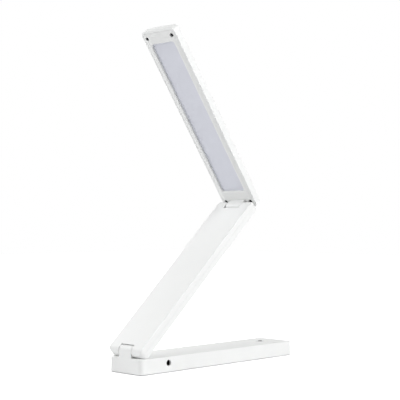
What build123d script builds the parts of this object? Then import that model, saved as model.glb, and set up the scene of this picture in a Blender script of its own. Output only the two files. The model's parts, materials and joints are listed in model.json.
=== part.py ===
from build123d import *
import os

# Folding LED desk lamp, millimetres. +Z is up, the origin is the middle of the base's underside.
# The lamp stands open as in use: the arm leans towards +X and the head leans back over the base.

# Overall sizes
BASE_LENGTH = 232.0
WIDTH = 48.0
BASE_TOP = 16.0
PLAN_CORNER = 5.2
ARM_THICKNESS = 11.8
HEAD_THICKNESS = 9.0
AXIS_DISTANCE = 213.6
HEAD_ABOVE_AXIS = 217.0
HEAD_BELOW_AXIS = 4.3
ARM_ANGLE = 42.2
HEAD_ANGLE = 126.0

# Fits and gaps
FOLD_GAP_BASE = 0.5
FOLD_GAP_HEAD = 0.4
SEAT = 0.02
PIN_PLAY = 0.05
NOTCH_PLAY = 0.8
SIDE_PLAY = 0.5
SEAM = 0.06
SEAM_DEPTH = 0.2

# Hinges
KNUCKLE = ARM_THICKNESS / 2
BASE_TONGUE = 18.0
HEAD_TONGUE = 22.0
PIN_RADIUS = 1.5
PIN_HALF = 20.8
BUSH_RADIUS = 2.5
BORE_END = 21.2
WASHER_RADIUS = 4.0
HINGE_X = -BASE_LENGTH / 2 + KNUCKLE
HINGE_Z = BASE_TOP + FOLD_GAP_BASE + KNUCKLE

# Base
BASE_WALL = 2.0
BASE_RIM = 0.6
PLATE_TOP = BASE_RIM + 2.0
BASE_EDGE = 1.2
BOSS_RADIUS = 3.0
BASE_BOSSES = [(sx * 106.5, sy * 16.5) for sx in (-1, 1) for sy in (-1, 1)]
FEET = [(sx * 94.0, sy * 15.5) for sx in (-1, 1) for sy in (-1, 1)]
FOOT_RADIUS = 4.5
FOOT_RECESS = 0.6

# Power socket in the base's long side
SOCKET_X = -BASE_LENGTH / 2 + 37.3
SOCKET_Z = 9.7
SOCKET_RADIUS = 3.0
SOCKET_BODY = (9.0, 13.0, 7.8)
SOCKET_PIN_RADIUS = 1.0
SOCKET_PIN_DEPTH = 4.8
SOCKET_BORE_DEPTH = 9.5

# Push button near the base's free end
BUTTON_X = BASE_LENGTH / 2 - 28.0
CAP_RADIUS = 4.0
CAP_PLAY = 0.25
RING_INNER = CAP_RADIUS + CAP_PLAY
RING_OUTER = 5.0
FLANGE_RADIUS = 5.4
BUTTON_TRAVEL = 0.5
LENS_RADIUS = 2.3
LENS_DEPTH = 1.2
LENS_PROUD = 0.3
DISH_RADIUS = 2.05
DISH_DEPTH = 1.0
BOARD_Z = (6.0, 7.6)
BOARD_X = (BUTTON_X - 34.0, BUTTON_X + 9.0)
SWITCH_TOP = 11.1

# Arm
ARM_WALL = 1.6
ARM_EDGE = 0.8
ARM_HOLLOW = (11.5, AXIS_DISTANCE - 11.5)
ARM_SCREWS = [(x, sy * 16.5) for x in (24.0, AXIS_DISTANCE - 24.0) for sy in (-1, 1)]

# Recess in the arm's underside for the button's lens when the arm is folded onto the base
RECESS_X = BUTTON_X - HINGE_X
RECESS_RADIUS = 3.4
RECESS_DEPTH = 0.5

# Head, in its own frame: origin on the knee axis, +X towards the tip, +Z out of the lit face.
# The frame's flat face stands proud of the housing's rim, and its border slopes down to the rim.
FRAME_PROUD = 0.8
HEAD_FRONT = -KNUCKLE - FOLD_GAP_HEAD - FRAME_PROUD
HEAD_BACK = HEAD_FRONT - HEAD_THICKNESS
HEAD_FLOOR = HEAD_BACK + 1.6
HEAD_CORNER = 5.5
HEAD_EDGE = 1.2
HEAD_FRONT_EDGE = 0.15
HEAD_RIM = 1.3
LEDGE = 3.0
FRAME_BACK = HEAD_FRONT - 1.5
FRAME_GROOVE = 0.2
FRAME_SLOPE = (4.0, FRAME_PROUD + 0.05)

# The rim reaches a little beyond the frame at the tip and slopes off there
HEAD_TIP = HEAD_ABOVE_AXIS + 1.0
TIP_SLOPE = (2.2, 0.8)

# Light window, screws and light source of the head
WINDOW_X = (HEAD_ABOVE_AXIS - 13.8 - 185.8, HEAD_ABOVE_AXIS - 13.8)
WINDOW_HALF = 16.6
WINDOW_CORNER = 3.0
WINDOW_LIP = 0.3
DIFFUSER_OVERLAP = 1.8
DIFFUSER_BACK = FRAME_BACK - 1.4
HEAD_SCREW_SEAT = HEAD_FRONT - 0.9
HEAD_SCREWS = [(x, sy * 18.0) for x in (3.8, HEAD_ABOVE_AXIS - 7.0) for sy in (-1, 1)]
LED_BOARD_X = (WINDOW_X[0] + 3.0, WINDOW_X[1] - 3.0)
LED_BOARD_HALF = 13.5
LED_BOARD_TOP = HEAD_FLOOR + 1.0
LED_ROWS = (-7.0, 7.0)
LEDS_PER_ROW = 14
LED_SIZE = (3.5, 2.8, 0.7)


def block(x, y, z):
    """A box from three (low, high) pairs."""
    size = [high - low for low, high in (x, y, z)]
    middle = [(high + low) / 2 for low, high in (x, y, z)]
    return Pos(*middle) * Box(*size)


def slab(x, half_width, z, corner):
    """A plate between two heights with rounded corners in plan."""
    plan = RectangleRounded(x[1] - x[0], 2 * half_width, corner)
    return Pos((x[0] + x[1]) / 2, 0, z[0]) * extrude(plan, z[1] - z[0])


def post(x, y, z, radius):
    """An upright cylinder between two heights."""
    return Pos(x, y, (z[0] + z[1]) / 2) * Cylinder(radius, z[1] - z[0])


def rod(x, z, y, radius):
    """A cylinder along Y between two y values."""
    return Pos(x, (y[0] + y[1]) / 2, z) * Rot(90, 0, 0) * Cylinder(radius, y[1] - y[0])


def side_faces(solid):
    """The edges of the two faces that look along -Y and +Y."""
    faces = solid.faces().sort_by(Axis.Y)
    return faces[0].edges() + faces[-1].edges()


def knuckle_tongue(x, z, width):
    """A hinge tongue round the origin that stands on a neck below it."""
    half = width / 2
    tongue = block(x, (-half, half), (z, 0)) + rod(0, 0, (-half, half), KNUCKLE)
    return chamfer(side_faces(tongue), 0.35)


def screw(head_radius, head_height, shank_radius, length):
    """A cross-recessed pan screw. Its head's underside is at the origin and its head looks along +Z."""
    head = post(0, 0, (0, head_height), head_radius)
    head = fillet(head.faces().sort_by(Axis.Z)[-1].edges(), head_height * 0.45)
    body = head + post(0, 0, (-length, 0), shank_radius)
    arm = head_radius * 0.6
    slot = head_radius * 0.13
    depth = (head_height * 0.35, head_height + 1)
    return body - block((-arm, arm), (-slot, slot), depth) - block((-slot, slot), (-arm, arm), depth)


def arm_place(solid):
    """Moves a solid from the arm's frame to the lamp's."""
    return Pos(HINGE_X, 0, HINGE_Z) * Rot(0, -ARM_ANGLE, 0) * solid


def head_place(solid):
    """Moves a solid from the head's frame to the lamp's."""
    return arm_place(Pos(AXIS_DISTANCE, 0, 0) * Rot(0, ARM_ANGLE - HEAD_ANGLE, 0) * solid)


# ---------------------------------------------------------------- base

def base_shell():
    end = BASE_LENGTH / 2
    shell = slab((-end, end), WIDTH / 2, (BASE_RIM, BASE_TOP), PLAN_CORNER)
    shell = fillet(shell.faces().sort_by(Axis.Z)[-1].edges(), BASE_EDGE)
    shell = chamfer(shell.faces().sort_by(Axis.Z)[0].edges(), 0.3)
    inner = (-end + BASE_WALL, end - BASE_WALL)
    shell -= slab(inner, WIDTH / 2 - BASE_WALL, (0, BASE_TOP - BASE_WALL), PLAN_CORNER - BASE_WALL)
    neck = knuckle_tongue((-KNUCKLE, KNUCKLE), BASE_TOP - 1.5 - HINGE_Z, BASE_TONGUE)
    shell += Pos(HINGE_X, 0, HINGE_Z) * neck
    for x, y in BASE_BOSSES:
        shell += post(x, y, (PLATE_TOP, BASE_TOP - 1), BOSS_RADIUS)
        shell -= post(x, y, (0, BASE_TOP - 4), 1.1)
    shell -= rod(HINGE_X, HINGE_Z, (-WIDTH, WIDTH), PIN_RADIUS + SEAT)
    shell -= rod(SOCKET_X, SOCKET_Z, (-WIDTH / 2 - 1, -WIDTH / 2 + 4), SOCKET_RADIUS + 0.1)
    shell -= post(BUTTON_X, 0, (BASE_TOP - BASE_WALL - 1, BASE_TOP + 1), RING_INNER)
    shell -= post(BUTTON_X, 0, (BASE_TOP - 0.9, BASE_TOP + 1), RING_OUTER + SEAT)
    return shell


def base_plate():
    end = BASE_LENGTH / 2 - BASE_WALL - 0.1
    half = WIDTH / 2 - BASE_WALL - 0.1
    plate = slab((-end, end), half, (BASE_RIM, PLATE_TOP - SEAT), PLAN_CORNER - BASE_WALL)
    for x, y in FEET:
        plate -= post(x, y, (0, BASE_RIM + FOOT_RECESS), FOOT_RADIUS + 0.1)
    for x, y in BASE_BOSSES:
        plate -= post(x, y, (0, 4), 1.5)
        plate -= post(x, y, (0, BASE_RIM + 1.1), 2.7)
    for x in (BOARD_X[0] + 3, BOARD_X[1] - 3):
        for y in (-14.0, 14.0):
            plate += post(x, y, (PLATE_TOP - 0.5, BOARD_Z[0] - SEAT), 1.8)
    return plate


def base_feet():
    return Part() + [post(x, y, (0, BASE_RIM + FOOT_RECESS - SEAT), FOOT_RADIUS) for x, y in FEET]


def base_screws():
    one = Rot(180, 0, 0) * screw(2.3, 0.9, 1.05, 9.0)
    return Part() + [Pos(x, y, BASE_RIM + 1.1 - SEAT) * one for x, y in BASE_BOSSES]


def ballast_plate():
    slug = slab((-66.0, 46.0), 19.0, (PLATE_TOP, PLATE_TOP + 4.0), 2.0)
    return chamfer(slug.faces().sort_by(Axis.Z)[-1].edges(), 0.5)


def control_board():
    board = slab(BOARD_X, 17.0, BOARD_Z, 1.0)
    driver = block((BOARD_X[0] + 8, BOARD_X[0] + 14), (-3, 3), (BOARD_Z[1], BOARD_Z[1] + 1.5))
    coil = post(BOARD_X[0] + 9, 11, (BOARD_Z[1], BOARD_Z[1] + 4), 3.5)
    return board + driver + coil


def tact_switch():
    low = BOARD_Z[1] + SEAT
    case = block((BUTTON_X - 3, BUTTON_X + 3), (-3, 3), (low, SWITCH_TOP))
    return case + post(BUTTON_X, 0, (low + 1, SWITCH_TOP + 0.5), 1.7)


def dc_socket():
    wide, deep, high = SOCKET_BODY
    face = -WIDTH / 2 + BASE_WALL + SEAT
    body = block(
        (SOCKET_X - wide / 2, SOCKET_X + wide / 2),
        (face, face + deep),
        (SOCKET_Z - high / 2, SOCKET_Z + high / 2),
    )
    mouth = rod(SOCKET_X, SOCKET_Z, (face - 1.0, face + SOCKET_BORE_DEPTH), SOCKET_RADIUS)
    foot = block(
        (SOCKET_X - wide / 2, SOCKET_X + wide / 2),
        (face + deep - 4, face + deep),
        (PLATE_TOP, SOCKET_Z - high / 2 + 0.5),
    )
    return body + foot - mouth


def socket_contact():
    """The round centre contact deep in the socket."""
    tip = -WIDTH / 2 + SOCKET_PIN_DEPTH
    back = -WIDTH / 2 + BASE_WALL + SEAT + SOCKET_BORE_DEPTH - SEAT
    pin = rod(SOCKET_X, SOCKET_Z, (tip, back), SOCKET_PIN_RADIUS)
    return fillet(pin.faces().sort_by(Axis.Y)[0].edges(), SOCKET_PIN_RADIUS * 0.6)


def power_lead():
    """Two cores from the socket to the board, laid beside the ballast."""
    start = SOCKET_X + SOCKET_BODY[0] / 2 + SEAT
    end = BOARD_X[0] - SEAT
    cores = [-WIDTH / 2 + BASE_WALL + 1.2, -WIDTH / 2 + BASE_WALL + 2.3]
    runs = [Pos((start + end) / 2, y, BOARD_Z[1] - 0.6) * Rot(0, 90, 0) * Cylinder(0.5, end - start)
            for y in cores]
    return Part() + runs


def button_ring():
    ring = post(BUTTON_X, 0, (BASE_TOP - 0.9 + SEAT, BASE_TOP + 0.1), RING_OUTER)
    ring = fillet(ring.faces().sort_by(Axis.Z)[-1].edges(), 0.3)
    return ring - post(BUTTON_X, 0, (BASE_TOP - 3, BASE_TOP + 2), RING_INNER)


def power_button():
    flange_top = BASE_TOP - BASE_WALL - SEAT
    cap = post(BUTTON_X, 0, (flange_top - 0.9, BASE_TOP), CAP_RADIUS)
    cap = fillet(cap.faces().sort_by(Axis.Z)[-1].edges(), 0.3)
    cap += post(BUTTON_X, 0, (flange_top - 0.9, flange_top), FLANGE_RADIUS)
    cap += post(BUTTON_X, 0, (SWITCH_TOP + 0.5 + BUTTON_TRAVEL + 0.05, flange_top), 1.6)
    return cap - post(BUTTON_X, 0, (BASE_TOP - LENS_DEPTH, BASE_TOP + 1), LENS_RADIUS + SEAT)


def button_lens():
    """A dark cup let into the cap, standing a little proud so that a finger finds it."""
    top = BASE_TOP + LENS_PROUD
    lens = post(BUTTON_X, 0, (BASE_TOP - LENS_DEPTH + SEAT, top), LENS_RADIUS)
    return lens - post(BUTTON_X, 0, (top - DISH_DEPTH, top + 1), DISH_RADIUS)


# ---------------------------------------------------------------- hinges

def hinge_pin():
    pin = rod(0, 0, (-PIN_HALF, PIN_HALF), PIN_RADIUS)
    return chamfer(side_faces(pin), 0.3)


def hinge_washers(tongue):
    """The two washers that fill the play on each side of a tongue."""
    inner = tongue / 2 + 0.05
    outer = tongue / 2 + SIDE_PLAY - 0.05
    hole = rod(0, 0, (-WIDTH, WIDTH), PIN_RADIUS + SEAT)
    sides = [(-outer, -inner), (inner, outer)]
    return Part() + [rod(0, 0, side, WASHER_RADIUS) - hole for side in sides]


# ---------------------------------------------------------------- arm

def arm_notch(tongue):
    """The opening in the arm's end for a hinge tongue, round the origin and open towards -X and -Z."""
    half = tongue / 2 + SIDE_PLAY
    radius = KNUCKLE + NOTCH_PLAY
    low = block((-10, radius), (-half, half), (-10, 0))
    end = block((-10, 0), (-half, half), (0, 10))
    return rod(0, 0, (-half, half), radius) + low + end


def arm_outline():
    """The whole arm as one block: two rounded ends, cut for the tongues of the base and the head."""
    profile = Plane.XZ * Pos(AXIS_DISTANCE / 2, 0) * SlotCenterToCenter(AXIS_DISTANCE, ARM_THICKNESS)
    long = extrude(profile, WIDTH / 2, both=True)
    x = (-KNUCKLE, AXIS_DISTANCE + KNUCKLE)
    arm = long & slab(x, WIDTH / 2, (-KNUCKLE, KNUCKLE), PLAN_CORNER)
    arm -= arm_notch(BASE_TONGUE)
    return arm - Pos(AXIS_DISTANCE, 0, 0) * Rot(0, 180, 0) * arm_notch(HEAD_TONGUE)


def arm_half(side):
    """One moulded half of the arm: side is 1 for the upper half and -1 for the lower half."""
    away = (0, 10) if side > 0 else (-10, 0)
    half = arm_outline() & block((-20, AXIS_DISTANCE + 20), (-WIDTH, WIDTH), away)
    inner = KNUCKLE - ARM_WALL
    half -= slab(ARM_HOLLOW, WIDTH / 2 - ARM_WALL, (-inner, inner), 2.0)
    seam = slab((-20, AXIS_DISTANCE + 20), WIDTH, (-SEAM, SEAM), 1.0)
    kept = (-KNUCKLE + SEAM_DEPTH, AXIS_DISTANCE + KNUCKLE - SEAM_DEPTH)
    seam -= slab(kept, WIDTH / 2 - SEAM_DEPTH, (-1, 1), PLAN_CORNER - SEAM_DEPTH)
    half -= seam
    for x in (0, AXIS_DISTANCE):
        half -= rod(x, 0, (-BORE_END, BORE_END), BUSH_RADIUS + SEAT)
    return half


def arm_upper_shell():
    shell = arm_half(1)
    for x, y in ARM_SCREWS:
        shell += post(x, y, (0, KNUCKLE - 1), 2.6)
        shell -= post(x, y, (-1, KNUCKLE - 2), 0.92)
    return shell


def arm_lower_shell():
    shell = arm_half(-1)
    for x, y in ARM_SCREWS:
        shell += post(x, y, (-KNUCKLE + 1, -SEAT), 3.2)
        shell -= post(x, y, (-KNUCKLE - 1, -KNUCKLE + 1.9), 2.3)
        shell -= post(x, y, (-KNUCKLE, 1), 1.15)
    return shell - post(RECESS_X, 0, (-KNUCKLE - 1, -KNUCKLE + RECESS_DEPTH), RECESS_RADIUS)


def arm_screws():
    one = Rot(180, 0, 0) * screw(2.0, 1.1, 0.9, 6.0)
    return Part() + [Pos(x, y, -KNUCKLE + 1.9 - SEAT) * one for x, y in ARM_SCREWS]


def arm_bushes():
    """Metal sleeves in the four ears, in which the two hinge pins turn."""
    bushes = []
    for x, tongue in ((0, BASE_TONGUE), (AXIS_DISTANCE, HEAD_TONGUE)):
        for side in (-1, 1):
            y = sorted((side * (tongue / 2 + SIDE_PLAY + 0.1), side * BORE_END))
            sleeve = rod(x, 0, y, BUSH_RADIUS)
            bushes.append(sleeve - rod(x, 0, (-WIDTH, WIDTH), PIN_RADIUS + PIN_PLAY))
    return Part() + bushes


def arm_stiffener():
    inner = KNUCKLE - ARM_WALL - SEAT
    return slab((ARM_HOLLOW[0] + 3, ARM_HOLLOW[1] - 3), 9.0, (inner - 1.2, inner), 2.0)


def arm_lead():
    inner = -KNUCKLE + ARM_WALL + SEAT
    x = (ARM_HOLLOW[0] + SEAT, ARM_HOLLOW[1] - SEAT)
    return slab(x, 1.6, (inner, inner + 1.4), 0.6)


# ---------------------------------------------------------------- head

def head_x(inset):
    """The head's face from end to end, less an inset."""
    return (-HEAD_BELOW_AXIS + inset, HEAD_ABOVE_AXIS - inset)


def tip_wedge():
    """What the slope at the head's tip takes off its front."""
    run, drop = TIP_SLOPE
    start = (HEAD_TIP - run, HEAD_FRONT)
    above = (HEAD_TIP + run, HEAD_FRONT)
    below = (HEAD_TIP + run, HEAD_FRONT - 2 * drop)
    return extrude(Plane.XZ * Polygon(start, above, below, align=None), WIDTH, both=True)


def head_shell():
    shell = slab((-HEAD_BELOW_AXIS, HEAD_TIP), WIDTH / 2, (HEAD_BACK, HEAD_FRONT), HEAD_CORNER)
    shell = fillet(shell.faces().sort_by(Axis.Z)[0].edges(), HEAD_EDGE)
    shell = fillet(shell.faces().sort_by(Axis.Z)[-1].edges(), HEAD_FRONT_EDGE)
    shell -= tip_wedge()
    half = WIDTH / 2
    shell -= slab(head_x(HEAD_RIM), half - HEAD_RIM, (FRAME_BACK, 0), HEAD_CORNER - HEAD_RIM)
    shell -= slab(head_x(LEDGE), half - LEDGE, (HEAD_FLOOR, 0), HEAD_CORNER - LEDGE)
    shell += knuckle_tongue((-HEAD_BELOW_AXIS, KNUCKLE), HEAD_FLOOR - 0.5, HEAD_TONGUE)
    for side in (-1, 1):
        y = sorted((side * (WINDOW_HALF + 0.4), side * (WINDOW_HALF + 1.6)))
        shell += block((WINDOW_X[0] + 2, WINDOW_X[1] - 2), y, (HEAD_FLOOR - 0.3, DIFFUSER_BACK - SEAT))
    for x, y in HEAD_SCREWS:
        shell += post(x, y, (HEAD_FLOOR - 0.3, FRAME_BACK - SEAT), 2.4)
        shell -= post(x, y, (HEAD_FLOOR, 0), 0.92)
    return shell - rod(0, 0, (-WIDTH, WIDTH), PIN_RADIUS + SEAT)


def head_frame():
    inset = HEAD_RIM + FRAME_GROOVE
    z = (FRAME_BACK + SEAT, HEAD_FRONT + FRAME_PROUD)
    frame = slab(head_x(inset), WIDTH / 2 - inset, z, HEAD_CORNER - inset)
    front = frame.faces().sort_by(Axis.Z)[-1]
    frame = chamfer(front.edges(), *FRAME_SLOPE, reference=front)
    frame -= slab(WINDOW_X, WINDOW_HALF, (FRAME_BACK - 1, 0), WINDOW_CORNER)
    lip = frame.faces().sort_by(Axis.Z)[-1].inner_wires()[0].edges()
    frame = chamfer(lip, WINDOW_LIP)
    half = HEAD_TONGUE / 2 + 0.2
    frame -= block((-HEAD_BELOW_AXIS - 1, KNUCKLE + 0.2), (-half, half), (FRAME_BACK - 1, 0))
    for x, y in HEAD_SCREWS:
        frame -= post(x, y, (HEAD_SCREW_SEAT, 0), 2.2)
        frame -= post(x, y, (FRAME_BACK - 1, 0), 1.15)
    return frame


def diffuser():
    x = (WINDOW_X[0] - DIFFUSER_OVERLAP, WINDOW_X[1] + DIFFUSER_OVERLAP)
    return slab(x, WINDOW_HALF + DIFFUSER_OVERLAP, (DIFFUSER_BACK, FRAME_BACK - SEAT), 1.0)


def led_board():
    return slab(LED_BOARD_X, LED_BOARD_HALF, (HEAD_FLOOR + SEAT, LED_BOARD_TOP), 0.5)


def leds():
    wide, deep, high = LED_SIZE
    pitch = (LED_BOARD_X[1] - LED_BOARD_X[0]) / LEDS_PER_ROW
    low = LED_BOARD_TOP + SEAT
    chips = []
    for row in LED_ROWS:
        for i in range(LEDS_PER_ROW):
            x = LED_BOARD_X[0] + (i + 0.5) * pitch
            chips.append(block((x - wide / 2, x + wide / 2), (row - deep / 2, row + deep / 2), (low, low + high)))
    return Part() + chips


def head_lead():
    x = (KNUCKLE + SEAT, LED_BOARD_X[0] - SEAT)
    return slab(x, 1.6, (HEAD_FLOOR + SEAT, HEAD_FLOOR + 1.4), 0.6)


def head_screws():
    one = screw(1.9, 0.9, 0.9, 5.0)
    return Part() + [Pos(x, y, HEAD_SCREW_SEAT + SEAT) * one for x, y in HEAD_SCREWS]


HINGE = Pos(HINGE_X, 0, HINGE_Z)
PARTS = {
    "base_shell": base_shell(),
    "base_plate": base_plate(),
    "base_feet": base_feet(),
    "base_screws": base_screws(),
    "ballast_plate": ballast_plate(),
    "control_board": control_board(),
    "tact_switch": tact_switch(),
    "dc_socket": dc_socket(),
    "socket_contact": socket_contact(),
    "power_lead": power_lead(),
    "button_ring": button_ring(),
    "base_hinge_pin": HINGE * hinge_pin(),
    "base_hinge_washers": HINGE * hinge_washers(BASE_TONGUE),
    "power_button": power_button(),
    "button_lens": button_lens(),
    "arm_upper_shell": arm_place(arm_upper_shell()),
    "arm_lower_shell": arm_place(arm_lower_shell()),
    "arm_screws": arm_place(arm_screws()),
    "arm_bushes": arm_place(arm_bushes()),
    "arm_stiffener": arm_place(arm_stiffener()),
    "arm_lead": arm_place(arm_lead()),
    "head_shell": head_place(head_shell()),
    "head_frame": head_place(head_frame()),
    "diffuser": head_place(diffuser()),
    "led_board": head_place(led_board()),
    "leds": head_place(leds()),
    "head_lead": head_place(head_lead()),
    "head_screws": head_place(head_screws()),
    "knee_hinge_pin": head_place(hinge_pin()),
    "knee_hinge_washers": head_place(hinge_washers(HEAD_TONGUE)),
}

os.makedirs("parts", exist_ok=True)
for name, solid in PARTS.items():
    export_step(solid, f"parts/{name}.step")
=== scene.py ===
"""A white folding LED desk lamp: its finishes, its small moulded and turned pieces, a pale stage and a camera."""

import json
import math

import bmesh
import bpy
from bpy.props import FloatProperty, FloatVectorProperty, PointerProperty
from mathutils import Matrix, Vector


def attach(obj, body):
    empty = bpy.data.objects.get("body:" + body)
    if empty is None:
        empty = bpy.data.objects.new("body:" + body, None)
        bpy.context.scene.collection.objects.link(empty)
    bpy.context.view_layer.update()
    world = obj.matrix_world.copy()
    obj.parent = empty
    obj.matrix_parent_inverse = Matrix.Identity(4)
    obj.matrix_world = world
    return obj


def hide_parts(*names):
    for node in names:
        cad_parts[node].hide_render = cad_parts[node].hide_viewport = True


bl_info = {
    "name": "Folding LED desk lamp",
    "version": (1, 0, 0),
    "blender": (4, 5, 0),
    "location": "3D View > Sidebar > Desk lamp",
    "description": "Finishes and small pieces of a folding LED desk lamp, with a stage and a camera",
    "category": "Object",
}

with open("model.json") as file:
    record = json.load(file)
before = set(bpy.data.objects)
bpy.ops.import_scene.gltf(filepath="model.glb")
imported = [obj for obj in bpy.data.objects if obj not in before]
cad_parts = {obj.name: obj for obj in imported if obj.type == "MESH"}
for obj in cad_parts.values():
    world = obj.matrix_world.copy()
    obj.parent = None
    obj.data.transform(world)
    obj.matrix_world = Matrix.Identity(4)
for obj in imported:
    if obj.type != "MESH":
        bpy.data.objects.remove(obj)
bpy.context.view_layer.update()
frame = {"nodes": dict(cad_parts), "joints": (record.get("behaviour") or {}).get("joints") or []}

MM = 0.001


# ---------------------------------------------------------------- places read from the frame

def joint(name):
    """The frame's entry for one joint."""
    return next(j for j in frame["joints"] if j["name"] == name)


HINGE = Vector(joint("base_hinge")["pos_m"])
KNEE = Vector(joint("knee_hinge")["pos_m"])
ARM_LEAN = math.atan2(KNEE.z - HINGE.z, KNEE.x - HINGE.x)
HEAD_LEAN = math.radians(126.0)  # as the part is stored; the frame holds no angle for the head

# each body's own frame: where it hangs from, and how far its +X is tipped up from the lamp's +X
PLACES = {
    "base": (Vector((0, 0, 0)), 0.0),
    "arm": (HINGE, ARM_LEAN),
    "head": (KNEE, HEAD_LEAN),
}


def reach(node, body):
    """Lowest and highest corner of a CAD node, measured in the frame of the body that carries it."""
    at, lean = PLACES[body]
    back = (Matrix.Translation(at) @ Matrix.Rotation(-lean, 4, "Y")).inverted()
    points = [back @ vertex.co for vertex in frame["nodes"][node].data.vertices]
    return Vector(map(min, zip(*points))), Vector(map(max, zip(*points)))


# ---------------------------------------------------------------- sizes and colours a user would change

def linear(hex_value):
    """An sRGB hex colour as the linear RGBA that Blender's sockets take."""
    channels = [int(hex_value[i:i + 2], 16) / 255 for i in (1, 3, 5)]
    curve = [c / 12.92 if c <= 0.04045 else ((c + 0.055) / 1.055) ** 2.4 for c in channels]
    return (*curve, 1.0)


def length(name, description, default):
    return FloatProperty(name=name, description=description, default=default, min=0.0, unit="LENGTH")


def plain(name, description, default):
    return FloatProperty(name=name, description=description, default=default, min=0.0)


def colour(name, description, hex_value):
    return FloatVectorProperty(
        name=name, description=description, default=linear(hex_value), subtype="COLOR", size=4, min=0.0, max=1.0
    )


class LampColours(bpy.types.PropertyGroup):
    housing: colour("Housing", "Colour of the moulded housings", "#EFF0EF")
    bezel: colour("Bezel", "Colour of the frame round the light panel", "#EAEBEA")
    diffuser: colour("Diffuser", "Colour of the opal light panel when it is off", "#D8DAE3")
    button: colour("Button", "Colour of the push button's cap", "#F1F2F5")
    lens: colour("Button lens", "Colour of the smoked dot in the button", "#161617")
    screws: colour("Screws", "Colour of the blackened screws", "#2B2B2D")
    feet: colour("Feet", "Colour of the rubber feet", "#8E9092")


class LampSizes(bpy.types.PropertyGroup):
    thread_pitch: length("Thread pitch", "Rise of the screws' thread in one turn", 0.6 * MM)
    thread_depth: length("Thread depth", "Height of the screws' thread", 0.16 * MM)
    recess_depth: length("Cross recess", "Depth of the cross recess in the screws' heads", 0.55 * MM)
    groove_depth: length("Foot grooves", "Depth of the ring grooves under the feet", 0.25 * MM)
    well_radius: length("Chip well", "Radius of the phosphor well in a light chip", 1.2 * MM)
    well_depth: length("Chip well depth", "Depth of the phosphor well in a light chip", 0.25 * MM)


class StageSettings(bpy.types.PropertyGroup):
    floor_grey: colour("Floor", "Colour of the floor where it lights the lamp", "#F4F4F5")
    floor_size: length("Floor size", "Side of the square floor", 6.0)
    floor_lift: plain("Floor lift", "Brightness added to the floor for the camera alone", 1.05)
    # painted contact shadow: the reach of the ambient occlusion that darkens the floor's added brightness
    contact: length("Contact", "How far from the lamp's feet the floor's own brightness fades", 0.012)
    side_power: plain("Side light", "Power of the light on the socket side, in watts", 119.0)
    back_power: plain("Back light", "Power of the light behind the lamp, in watts", 56.0)
    end_power: plain("End light", "Power of the high light over the hinge end, in watts", 60.0)


def colours():
    return bpy.context.scene.lamp_colours


def sizes():
    return bpy.context.scene.lamp_sizes


# ---------------------------------------------------------------- materials

def add_node(tree, kind, inputs=None, links=None, **attributes):
    """Adds a node, sets its attributes and inputs, and links inputs from other nodes' sockets."""
    node = tree.nodes.new(kind)
    for key, value in attributes.items():
        setattr(node, key, value)
    for key, value in (inputs or {}).items():
        node.inputs[key].default_value = value
    for key, socket in (links or {}).items():
        tree.links.new(socket, node.inputs[key])
    return node


def material(name):
    """An empty node material with a Principled shader on its output."""
    made = bpy.data.materials.new(name)
    made.use_nodes = True
    tree = made.node_tree
    tree.nodes.clear()
    shader = add_node(tree, "ShaderNodeBsdfPrincipled")
    add_node(tree, "ShaderNodeOutputMaterial", links={"Surface": shader.outputs["BSDF"]})
    return made, tree, shader


def moulded_plastic(name, base, roughness, spark_mm, relief_mm, tint=0.012):
    """Injection moulded ABS from a spark-eroded tool: an even fine grain in relief, and a faint drift in
    shade and gloss over a few centimetres where the melt cooled unevenly."""
    made, tree, shader = material(name)
    place = add_node(tree, "ShaderNodeTexCoord").outputs["Object"]
    drift = add_node(tree, "ShaderNodeTexNoise", {"Scale": 1 / (38 * MM), "Detail": 2.0}, {"Vector": place})
    shade = add_node(
        tree, "ShaderNodeMapRange",
        {"From Min": 0.3, "From Max": 0.7, "To Min": 1.0 - tint, "To Max": 1.0 + tint},
        {"Value": drift.outputs["Fac"]},
    )
    tone = add_node(tree, "ShaderNodeHueSaturation", {"Color": base}, {"Value": shade.outputs["Result"]})
    gloss = add_node(
        tree, "ShaderNodeMapRange",
        {"From Min": 0.3, "From Max": 0.7, "To Min": roughness - 0.03, "To Max": roughness + 0.03},
        {"Value": drift.outputs["Fac"]},
    )
    grain = add_node(
        tree, "ShaderNodeTexNoise",
        {"Scale": 1 / (spark_mm * MM), "Detail": 3.0, "Roughness": 0.6}, {"Vector": place},
    )
    bump = add_node(
        tree, "ShaderNodeBump", {"Strength": 1.0, "Distance": relief_mm * MM}, {"Height": grain.outputs["Fac"]}
    )
    tree.links.new(tone.outputs["Color"], shader.inputs["Base Color"])
    tree.links.new(gloss.outputs["Result"], shader.inputs["Roughness"])
    tree.links.new(bump.outputs["Normal"], shader.inputs["Normal"])
    shader.inputs["IOR"].default_value = 1.53
    return made


def opal_acrylic(name, base):
    """Opal cast acrylic, matted on the outside: an even milky sheet, a soft sheen, and a faint drift
    where the light chips behind it would be."""
    made, tree, shader = material(name)
    place = add_node(tree, "ShaderNodeTexCoord").outputs["Object"]
    cloud = add_node(tree, "ShaderNodeTexNoise", {"Scale": 1 / (24 * MM), "Detail": 1.0}, {"Vector": place})
    shade = add_node(
        tree, "ShaderNodeMapRange",
        {"From Min": 0.3, "From Max": 0.7, "To Min": 0.985, "To Max": 1.015}, {"Value": cloud.outputs["Fac"]},
    )
    tone = add_node(tree, "ShaderNodeHueSaturation", {"Color": base}, {"Value": shade.outputs["Result"]})
    matt = add_node(tree, "ShaderNodeTexNoise", {"Scale": 1 / (0.25 * MM), "Detail": 2.0}, {"Vector": place})
    bump = add_node(tree, "ShaderNodeBump", {"Distance": 0.003 * MM}, {"Height": matt.outputs["Fac"]})
    tree.links.new(tone.outputs["Color"], shader.inputs["Base Color"])
    tree.links.new(bump.outputs["Normal"], shader.inputs["Normal"])
    shader.inputs["Roughness"].default_value = 0.32
    shader.inputs["IOR"].default_value = 1.49
    return made


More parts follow.
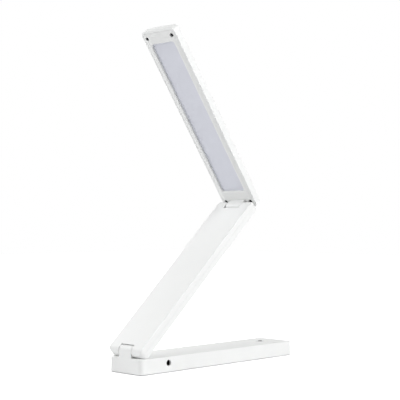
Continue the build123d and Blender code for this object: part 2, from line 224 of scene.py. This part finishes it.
def metal(name, base, roughness, scratch_mm):
    """Bare metal: turned, ground or plated, with fine marks that vary its gloss."""
    made, tree, shader = material(name)
    place = add_node(tree, "ShaderNodeTexCoord").outputs["Object"]
    marks = add_node(
        tree, "ShaderNodeTexNoise", {"Scale": 1 / (scratch_mm * MM), "Detail": 4.0}, {"Vector": place}
    )
    gloss = add_node(
        tree, "ShaderNodeMapRange",
        {"From Min": 0.3, "From Max": 0.7, "To Min": roughness - 0.06, "To Max": roughness + 0.06},
        {"Value": marks.outputs["Fac"]},
    )
    bump = add_node(tree, "ShaderNodeBump", {"Distance": 0.004 * MM}, {"Height": marks.outputs["Fac"]})
    tree.links.new(gloss.outputs["Result"], shader.inputs["Roughness"])
    tree.links.new(bump.outputs["Normal"], shader.inputs["Normal"])
    shader.inputs["Base Color"].default_value = base
    shader.inputs["Metallic"].default_value = 1.0
    return made


def dress(node, finish):
    """Gives a CAD node's every slot one material."""
    slots = frame["nodes"][node].material_slots
    if not slots:
        frame["nodes"][node].data.materials.append(finish)
    for slot in slots:
        slot.material = finish


# ---------------------------------------------------------------- turned pieces and rows of pieces

ROUND = 32
SMOOTH_UNDER = math.radians(35)
TURN_SEED = 7


def link(name, mesh):
    """A mesh as an object in the scene, with its soft edges smooth and its hard edges sharp."""
    mesh.shade_smooth()
    mesh.set_sharp_from_angle(angle=SMOOTH_UNDER)
    made = bpy.data.objects.new(name, mesh)
    bpy.context.scene.collection.objects.link(made)
    return made


def closed_mesh(name, rings):
    """A closed mesh through rings of points, from a first point to a last point."""
    built = bmesh.new()
    made = [[built.verts.new(point) for point in ring] for ring in rings]
    for low, high in zip(made, made[1:]):
        count = max(len(low), len(high))
        for i in range(count):
            j = (i + 1) % count
            around = [low[i % len(low)], low[j % len(low)], high[j % len(high)], high[i % len(high)]]
            built.faces.new(dict.fromkeys(around))
    bmesh.ops.recalc_face_normals(built, faces=built.faces)
    mesh = bpy.data.meshes.new(name)
    built.to_mesh(mesh)
    built.free()
    return mesh


def turns(count):
    """Directions round the Z axis."""
    return [i * math.tau / count for i in range(count)]


def ring(radius, height, count=ROUND):
    """Points round the Z axis; a single point where the radius is zero."""
    return [(radius * math.cos(a), radius * math.sin(a), height) for a in turns(count if radius else 1)]


def threaded_ring(radius, height):
    """Points round the Z axis that dip and rise as a thread does at that height."""
    points = []
    for a in turns(ROUND):
        phase = (height / sizes().thread_pitch - a / math.tau) % 1.0
        dip = sizes().thread_depth * abs(2 * phase - 1)
        points.append(((radius - dip) * math.cos(a), (radius - dip) * math.sin(a), height))
    return points


def cross_outline(arm, half, height):
    """The twelve corners of a cross."""
    quarter = [(half, half), (arm, half), (arm, -half)]
    turned = []
    for step in range(4):
        for x, y in quarter:
            for _ in range(step):
                x, y = y, -x
            turned.append((x, y, height))
    return turned


THREAD_RINGS = 6  # rings of points in one turn of the thread
THREAD_START = 0.5 * MM  # how far from the tip the thread starts
THREAD_FREE = 0.9 * MM  # what the thread leaves free of the shank at both ends together
HEAD_PROFILE = [(1.0, 0.0), (1.0, 0.5), (0.94, 0.76), (0.82, 0.92), (0.6, 1.0), (0.0, 1.0)]


def screw(name, head_radius, head_height, shank_radius, tip):
    """A pan-head screw with a tapered cross recess and a helical thread. Its head's underside is at Z 0."""
    rise = sizes().thread_pitch / THREAD_RINGS
    steps = int((-tip - THREAD_FREE) / rise)
    thread = [threaded_ring(shank_radius, tip + THREAD_START + i * rise) for i in range(steps)]
    rings = [
        ring(0, tip), ring(shank_radius * 0.5, tip + 0.15 * MM), *thread, ring(shank_radius * 0.85, 0),
        *(ring(head_radius * r, head_height * z) for r, z in HEAD_PROFILE),
    ]
    made = link(name, closed_mesh(name, rings))
    floor = head_height - sizes().recess_depth
    over = head_height + 0.2 * MM
    cross = [
        [(0, 0, floor)], cross_outline(head_radius * 0.34, head_radius * 0.1, floor),
        cross_outline(head_radius * 0.7, head_radius * 0.15, over), [(0, 0, over)],
    ]
    cutter = link(name + "_recess", closed_mesh(name + "_recess", cross))
    cut = made.modifiers.new("Recess", "BOOLEAN")
    cut.operation = "DIFFERENCE"
    cut.object = cutter
    settle(made)
    bpy.data.objects.remove(cutter)
    return made


def settle(made):
    """Turns what an object's modifiers make into its plain mesh."""
    seen = made.evaluated_get(bpy.context.evaluated_depsgraph_get())
    mesh = bpy.data.meshes.new_from_object(seen)
    made.modifiers.clear()
    made.data = mesh
    mesh.shade_smooth()
    mesh.set_sharp_from_angle(angle=SMOOTH_UNDER)


ROWS_TREE = "Pieces_in_rows"
ROW_INPUTS = {
    "Piece": "NodeSocketObject", "Finish": "NodeSocketMaterial",
    "Columns": "NodeSocketInt", "Rows": "NodeSocketInt",
    "Spread along": "NodeSocketFloat", "Spread across": "NodeSocketFloat",
    "Centre": "NodeSocketVector", "Aim": "NodeSocketVector", "Most turn": "NodeSocketFloat",
    "Body at": "NodeSocketVector", "Body lean": "NodeSocketVector",
}


def rows_tree():
    """Copies of one piece in rows, each turned by its own amount, aimed and carried to a body's place."""
    if ROWS_TREE in bpy.data.node_groups:
        return bpy.data.node_groups[ROWS_TREE]
    tree = bpy.data.node_groups.new(ROWS_TREE, "GeometryNodeTree")
    tree.interface.new_socket("Geometry", in_out="OUTPUT", socket_type="NodeSocketGeometry")
    for name, kind in ROW_INPUTS.items():
        tree.interface.new_socket(name, in_out="INPUT", socket_type=kind)
    given = add_node(tree, "NodeGroupInput").outputs
    grid = add_node(tree, "GeometryNodeMeshGrid", links={
        "Size X": given["Spread along"], "Size Y": given["Spread across"],
        "Vertices X": given["Columns"], "Vertices Y": given["Rows"],
    })
    turn = add_node(
        tree, "FunctionNodeRandomValue", {"Seed": TURN_SEED}, {3: given["Most turn"]}, data_type="FLOAT"
    )
    upright = add_node(tree, "ShaderNodeCombineXYZ", links={"Z": turn.outputs[1]})
    spin = add_node(tree, "FunctionNodeEulerToRotation", links={0: upright.outputs[0]})
    piece = add_node(tree, "GeometryNodeObjectInfo", links={"Object": given["Piece"]})
    copies = add_node(tree, "GeometryNodeInstanceOnPoints", links={
        "Points": grid.outputs["Mesh"], "Instance": piece.outputs["Geometry"], "Rotation": spin.outputs[0],
    })
    aim = add_node(tree, "FunctionNodeEulerToRotation", links={0: given["Aim"]})
    aimed = add_node(tree, "GeometryNodeTransform", links={
        "Geometry": copies.outputs[0], "Translation": given["Centre"], "Rotation": aim.outputs[0],
    })
    lean = add_node(tree, "FunctionNodeEulerToRotation", links={0: given["Body lean"]})
    carried = add_node(tree, "GeometryNodeTransform", links={
        "Geometry": aimed.outputs[0], "Translation": given["Body at"], "Rotation": lean.outputs[0],
    })
    real = add_node(tree, "GeometryNodeRealizeInstances", links={"Geometry": carried.outputs[0]})
    finished = add_node(tree, "GeometryNodeSetMaterial", links={
        "Geometry": real.outputs[0], "Material": given["Finish"],
    })
    add_node(tree, "NodeGroupOutput", links={0: finished.outputs[0]})
    return tree


def in_rows(name, body, piece, finish, **values):
    """Sets a piece out in rows on a body, as one plain mesh, and drops the single piece."""
    at, lean = PLACES[body]
    given = {
        "Piece": piece, "Finish": finish, "Columns": values["columns"], "Rows": values["rows"],
        "Spread along": values["along"], "Spread across": values["across"],
        "Centre": values["centre"], "Aim": values["aim"], "Most turn": values["most_turn"],
        "Body at": at, "Body lean": (0.0, -lean, 0.0),
    }
    made = link(name, bpy.data.meshes.new(name))
    rows = made.modifiers.new("Rows", "NODES")
    rows.node_group = rows_tree()
    for item in rows.node_group.interface.items_tree:
        if item.in_out == "INPUT":
            rows[item.identifier] = given[item.name]
    settle(made)
    bpy.data.objects.remove(piece)
    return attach(made, body)


UP = (0.0, 0.0, 0.0)
DOWN = (math.pi, 0.0, 0.0)

# each set of screws: its body, the radius and the height of a head, the shank's radius, where the heads look
SCREWS = {
    "head_screws": ("head", 1.9 * MM, 0.9 * MM, 0.9 * MM, UP),
    "arm_screws": ("arm", 2.0 * MM, 1.1 * MM, 0.9 * MM, DOWN),
    "base_screws": ("base", 2.3 * MM, 0.9 * MM, 1.05 * MM, DOWN),
}


def screws_like(node, finish):
    """Four detailed screws where the CAD has its four plain ones."""
    body, head_radius, head_height, shank_radius, aim = SCREWS[node]
    low, high = reach(node, body)
    seat = high.z - head_height if aim == UP else low.z + head_height
    tip = -(high.z - low.z - head_height)
    piece = screw(node + "_one", head_radius, head_height, shank_radius, tip)
    made = in_rows(
        node + "_detailed", body, piece, finish, columns=2, rows=2,
        along=high.x - low.x - 2 * head_radius, across=high.y - low.y - 2 * head_radius,
        centre=((low.x + high.x) / 2, 0.0, seat), aim=aim, most_turn=math.pi / 2,
    )
    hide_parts(node)


# ---------------------------------------------------------------- operators

class LAMP_OT_housings(bpy.types.Operator):
    """Finishes the moulded housings of the base, the arm and the head"""
    bl_idname = "lamp.housings"
    bl_label = "Housings"

    def execute(self, context):
        # ABS in a fine satin: white, evenly lit, with no mirror in it
        white = moulded_plastic("ABS_satin_white", colours().housing, 0.42, 0.35, 0.003)
        bezel = moulded_plastic("ABS_satin_bezel", colours().bezel, 0.45, 0.35, 0.003)
        for node in ("base_shell", "base_plate", "arm_upper_shell", "arm_lower_shell", "head_shell"):
            dress(node, white)
        dress("head_frame", bezel)
        return {"FINISHED"}


class LAMP_OT_panel(bpy.types.Operator):
    """Finishes the light panel: the opal sheet and the board behind it"""
    bl_idname = "lamp.light_panel"
    bl_label = "Light panel"

    def execute(self, context):
        dress("diffuser", opal_acrylic("Acrylic_opal_matt", colours().diffuser))
        # white solder resist on an aluminium-backed board
        dress("led_board", moulded_plastic("Solder_resist_white", linear("#E6E6E0"), 0.4, 0.6, 0.003))
        return {"FINISHED"}


CHIP_COLUMNS = 14
CHIP_ROWS = 2
CHIP_WIDE = 3.5 * MM
CHIP_DEEP = 2.8 * MM
CHIP_BEVEL = 0.1 * MM
CHIP_ROUND = 16  # points round a chip's well, four of them towards the package's corners


class LAMP_OT_chips(bpy.types.Operator):
    """Sets out the light chips: a white package with a well, and the phosphor in it"""
    bl_idname = "lamp.chips"
    bl_label = "Light chips"

    def execute(self, context):
        low, high = reach("leds", "head")
        tall = high.z - low.z
        spread = {
            "columns": CHIP_COLUMNS, "rows": CHIP_ROWS,
            "along": high.x - low.x - CHIP_WIDE, "across": high.y - low.y - CHIP_DEEP,
            "centre": ((low.x + high.x) / 2, 0.0, low.z), "aim": UP, "most_turn": 0.0,
        }
        # glass-filled nylon, moulded: chalk white and nearly matt
        package = moulded_plastic("Nylon_package_white", linear("#E9E8E2"), 0.55, 0.3, 0.002)
        # phosphor in silicone: a soft yellow pool
        phosphor = moulded_plastic("Phosphor_yellow", linear("#E9CF6A"), 0.35, 0.3, 0.002)
        packages = in_rows("led_packages", "head", self.package(tall), package, **spread)
        pools = in_rows("led_phosphor", "head", self.pool(tall), phosphor, **spread)
        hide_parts("leds")
        return {"FINISHED"}

    def package(self, tall):
        """An open-topped block: a box outline that turns into a round well."""
        well = sizes().well_radius
        floor = tall - sizes().well_depth
        rings = [
            [(0, 0, 0)], self.box_ring(0, 0), self.box_ring(0, tall - CHIP_BEVEL), self.box_ring(CHIP_BEVEL, tall),
            ring(well, tall, CHIP_ROUND), ring(well * 0.86, floor, CHIP_ROUND), [(0, 0, floor)],
        ]
        return link("led_package_one", closed_mesh("led_package_one", rings))

    def pool(self, tall):
        """The phosphor: a low dome that fills the well."""
        well = sizes().well_radius - 0.02 * MM
        floor = tall - sizes().well_depth + 0.01 * MM
        rings = [
            [(0, 0, floor)], ring(well * 0.85, floor, CHIP_ROUND), ring(well * 0.93, tall - 0.1 * MM, CHIP_ROUND),
            ring(well * 0.5, tall - 0.05 * MM, CHIP_ROUND), [(0, 0, tall - 0.04 * MM)],
        ]
        return link("led_pool_one", closed_mesh("led_pool_one", rings))

    def box_ring(self, inset, height):
        """A ring's points pushed out to the package's outline, with its corners kept square."""
        points = []
        for a in turns(CHIP_ROUND):
            stretch = 1 / max(abs(math.cos(a)), abs(math.sin(a)))
            x = (CHIP_WIDE / 2 - inset) * stretch * math.cos(a)
            y = (CHIP_DEEP / 2 - inset) * stretch * math.sin(a)
            points.append((x, y, height))
        return points


class LAMP_OT_screws(bpy.types.Operator):
    """Sets the cross-recessed screws in the head's frame, in the arm and in the base plate"""
    bl_idname = "lamp.screws"
    bl_label = "Screws"

    def execute(self, context):
        # black oxide on steel: near black, with a dull metal sheen on its edges
        finish = metal("Steel_black_oxide", colours().screws, 0.42, 0.25)
        for node in SCREWS:
            screws_like(node, finish)
        return {"FINISHED"}


FOOT_RADIUS = 4.5 * MM


class LAMP_OT_feet(bpy.types.Operator):
    """Sets the four grooved rubber feet"""
    bl_idname = "lamp.feet"
    bl_label = "Feet"

    def execute(self, context):
        low, high = reach("base_feet", "base")
        tall, groove = high.z - low.z, sizes().groove_depth
        # each point's radius as a share of the foot's, and its height: two ring grooves and a chamfered rim
        profile = [
            (0.0, 0.0), (0.2, 0.0), (0.24, groove), (0.34, groove), (0.38, 0.0), (0.56, 0.0), (0.6, groove),
            (0.7, groove), (0.74, 0.0), (0.94, 0.0), (1.0, 0.06 * FOOT_RADIUS), (1.0, tall), (0.0, tall),
        ]
        rings = [ring(FOOT_RADIUS * share, height) for share, height in profile]
        piece = link("foot_one", closed_mesh("foot_one", rings))
        # silicone rubber: matt, a little dusty
        rubber = moulded_plastic("Silicone_rubber_grey", colours().feet, 0.75, 0.6, 0.01, 0.03)
        made = in_rows(
            "base_feet_ribbed", "base", piece, rubber, columns=2, rows=2,
            along=high.x - low.x - 2 * FOOT_RADIUS, across=high.y - low.y - 2 * FOOT_RADIUS,
            centre=((low.x + high.x) / 2, 0.0, low.z), aim=UP, most_turn=0.0,
        )
        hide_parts("base_feet")
        return {"FINISHED"}


class LAMP_OT_button(bpy.types.Operator):
    """Finishes the push button, its ring and its smoked lens"""
    bl_idname = "lamp.button"
    bl_label = "Push button"

    def execute(self, context):
        # polished ABS, brighter than the satin housing round it
        cap = moulded_plastic("ABS_gloss_button", colours().button, 0.25, 0.5, 0.002)
        for node in ("power_button", "button_ring"):
            dress(node, cap)
        # smoked polycarbonate: a small near-black glossy cup
        dress("button_lens", moulded_plastic("Polycarbonate_smoked", colours().lens, 0.12, 0.8, 0.001))
        return {"FINISHED"}


class LAMP_OT_hardware(bpy.types.Operator):
    """Finishes the pins, sleeves, weights, socket, boards and leads"""
    bl_idname = "lamp.hardware"
    bl_label = "Hardware"

    def execute(self, context):
        ground = metal("Steel_ground_pin", linear("#B9BABC"), 0.25, 0.15)
        for node in ("base_hinge_pin", "knee_hinge_pin"):
            dress(node, ground)
        brass = metal("Brass_turned", linear("#C9A765"), 0.3, 0.2)
        for node in ("arm_bushes", "base_hinge_washers", "knee_hinge_washers"):
            dress(node, brass)
        zinc = metal("Steel_zinc_plated", linear("#A9ACB0"), 0.38, 1.2)
        for node in ("ballast_plate", "arm_stiffener"):
            dress(node, zinc)
        dress("socket_contact", metal("Brass_nickel_plated", linear("#BDBBB6"), 0.2, 0.2))
        nylon = moulded_plastic("Nylon_black", linear("#0C0C0D"), 0.5, 0.4, 0.003)
        for node in ("dc_socket", "tact_switch"):
            dress(node, nylon)
        dress("control_board", moulded_plastic("Solder_resist_green", linear("#1D5A30"), 0.35, 0.5, 0.003))
        sheath = moulded_plastic("PVC_sheath_black", linear("#1A1A1C"), 0.5, 0.5, 0.004)
        for node in ("power_lead", "arm_lead", "head_lead"):
            dress(node, sheath)
        return {"FINISHED"}


# The camera is worked out from straight edges of the lamp in the photograph.
CAMERA_AT = Vector((-0.8083, -0.7737, 0.1514))
CAMERA_YAW = math.radians(44.09)
CAMERA_PITCH = math.radians(1.14)
CAMERA_ROLL = math.radians(-0.11)
CAMERA_FOCAL_PIXELS = 1045.0
PICTURE_PIXELS = 400.0
SENSOR_MM = 36.0

# The three lights stand where the tones of the lamp's faces and upright edges in the photograph put them.
SIDE_LIGHT_AT = Vector((0.98, -2.86, 2.11))
BACK_LIGHT_AT = Vector((-0.81, 3.01, 1.95))
END_LIGHT_AT = Vector((-3.07, 0.82, 1.84))
LIGHTS_AIM = Vector((0.0, 0.0, 0.15))
SOFT_BOX_SIDE = 2.4


class LAMP_OT_stage(bpy.types.Operator):
    """Lays the floor, hangs the lights and sets the camera"""
    bl_idname = "lamp.stage"
    bl_label = "Stage"

    def execute(self, context):
        scene = context.scene
        values = scene.lamp_stage
        self.floor(values)
        self.world(scene)
        self.light("Side", SIDE_LIGHT_AT, values.side_power)
        self.light("Back", BACK_LIGHT_AT, values.back_power)
        self.light("End", END_LIGHT_AT, values.end_power)
        self.camera(scene)
        scene.view_settings.view_transform = "Standard"
        return {"FINISHED"}

    def seen(self, tree):
        """1 for the rays that see the backdrop: the camera's, and those through glass or off metal."""
        path = add_node(tree, "ShaderNodeLightPath")
        direct = add_node(
            tree, "ShaderNodeMath", operation="MAXIMUM",
            links={0: path.outputs["Is Camera Ray"], 1: path.outputs["Is Transmission Ray"]},
        )
        mirrored = add_node(
            tree, "ShaderNodeMath", operation="MAXIMUM",
            links={0: direct.outputs[0], 1: path.outputs["Is Glossy Ray"]},
        )
        return mirrored.outputs[0]

    def floor(self, values):
        """A white sheet that takes the lamp's shadow and runs into the white behind it; close under the lamp,
        ambient occlusion darkens its added brightness into a painted contact shadow.
        """
        half = values.floor_size / 2
        made = bpy.data.meshes.new("Floor")
        made.from_pydata(
            [(-half, -half, 0), (half, -half, 0), (half, half, 0), (-half, half, 0)], [], [(0, 1, 2, 3)]
        )
        floor = bpy.data.objects.new("Floor", made)
        bpy.context.scene.collection.objects.link(floor)
        finish, tree, shader = material("Paper_backdrop_white")
        shader.inputs["Base Color"].default_value = values.floor_grey
        shader.inputs["Roughness"].default_value = 0.9
        lift = add_node(
            tree, "ShaderNodeMath", {1: values.floor_lift}, {0: self.seen(tree)}, operation="MULTIPLY"
        )
        # painted contact shadow: ambient occlusion darkens the floor's added, camera-only brightness close under
        # the lamp, which draws the thin line of contact
        painted_contact_shadow = add_node(tree, "ShaderNodeAmbientOcclusion", {"Distance": values.contact})
        tree.links.new(painted_contact_shadow.outputs["Color"], shader.inputs["Emission Color"])
        tree.links.new(lift.outputs[0], shader.inputs["Emission Strength"])
        floor.data.materials.append(finish)

    def world(self, scene):
        """A white studio that the camera and the lamp's sheen see, but that doesn't light the lamp."""
        world = bpy.data.worlds.new("Studio")
        scene.world = world
        world.use_nodes = True
        tree = world.node_tree
        tree.nodes.clear()
        white = add_node(
            tree, "ShaderNodeBackground", {"Color": (1, 1, 1, 1)}, {"Strength": self.seen(tree)}
        )
        add_node(tree, "ShaderNodeOutputWorld", links={"Surface": white.outputs[0]})

    def light(self, name, place, power):
        """A large soft box that looks at the lamp's middle."""
        lamp = bpy.data.lights.new(name, "AREA")
        lamp.shape = "SQUARE"
        lamp.size = SOFT_BOX_SIDE
        lamp.energy = power
        made = bpy.data.objects.new(name, lamp)
        made.location = place
        made.rotation_euler = (LIGHTS_AIM - place).to_track_quat("-Z", "Y").to_euler()
        bpy.context.scene.collection.objects.link(made)

    def camera(self, scene):
        data = bpy.data.cameras.new("Camera")
        data.sensor_fit = "HORIZONTAL"
        data.sensor_width = SENSOR_MM
        data.lens = CAMERA_FOCAL_PIXELS / PICTURE_PIXELS * SENSOR_MM
        data.clip_start = 0.01
        data.clip_end = 50.0
        camera = bpy.data.objects.new("Camera", data)
        ahead = Vector((
            math.cos(CAMERA_YAW) * math.cos(CAMERA_PITCH),
            math.sin(CAMERA_YAW) * math.cos(CAMERA_PITCH),
            math.sin(CAMERA_PITCH),
        ))
        turn = ahead.to_track_quat("-Z", "Y").to_matrix() @ Matrix.Rotation(-CAMERA_ROLL, 3, "Z")
        camera.matrix_world = Matrix.Translation(CAMERA_AT) @ turn.to_4x4()
        scene.collection.objects.link(camera)
        scene.camera = camera


OPERATORS = (
    LAMP_OT_housings, LAMP_OT_panel, LAMP_OT_chips, LAMP_OT_button, LAMP_OT_screws, LAMP_OT_feet,
    LAMP_OT_hardware, LAMP_OT_stage,
)


class LAMP_PT_panel(bpy.types.Panel):
    """Lists the lamp's pieces and its stage"""
    bl_idname = "LAMP_PT_panel"
    bl_label = "Desk lamp"
    bl_space_type = "VIEW_3D"
    bl_region_type = "UI"
    bl_category = "Desk lamp"

    def draw(self, context):
        for operator in OPERATORS:
            self.layout.operator(operator.bl_idname)
        scene = context.scene
        for group in (scene.lamp_sizes, scene.lamp_colours, scene.lamp_stage):
            for name in group.__annotations__:
                self.layout.prop(group, name)


CLASSES = (LampSizes, LampColours, StageSettings, *OPERATORS, LAMP_PT_panel)


def register():
    for cls in CLASSES:
        bpy.utils.register_class(cls)
    bpy.types.Scene.lamp_sizes = PointerProperty(type=LampSizes)
    bpy.types.Scene.lamp_colours = PointerProperty(type=LampColours)
    bpy.types.Scene.lamp_stage = PointerProperty(type=StageSettings)


def unregister():
    del bpy.types.Scene.lamp_stage
    del bpy.types.Scene.lamp_colours
    del bpy.types.Scene.lamp_sizes
    for cls in reversed(CLASSES):
        bpy.utils.unregister_class(cls)


def main():
    register()
    bpy.ops.lamp.housings()
    bpy.ops.lamp.light_panel()
    bpy.ops.lamp.chips()
    bpy.ops.lamp.button()
    bpy.ops.lamp.screws()
    bpy.ops.lamp.feet()
    bpy.ops.lamp.hardware()
    bpy.ops.lamp.stage()


if __name__ == "__main__":
    main()
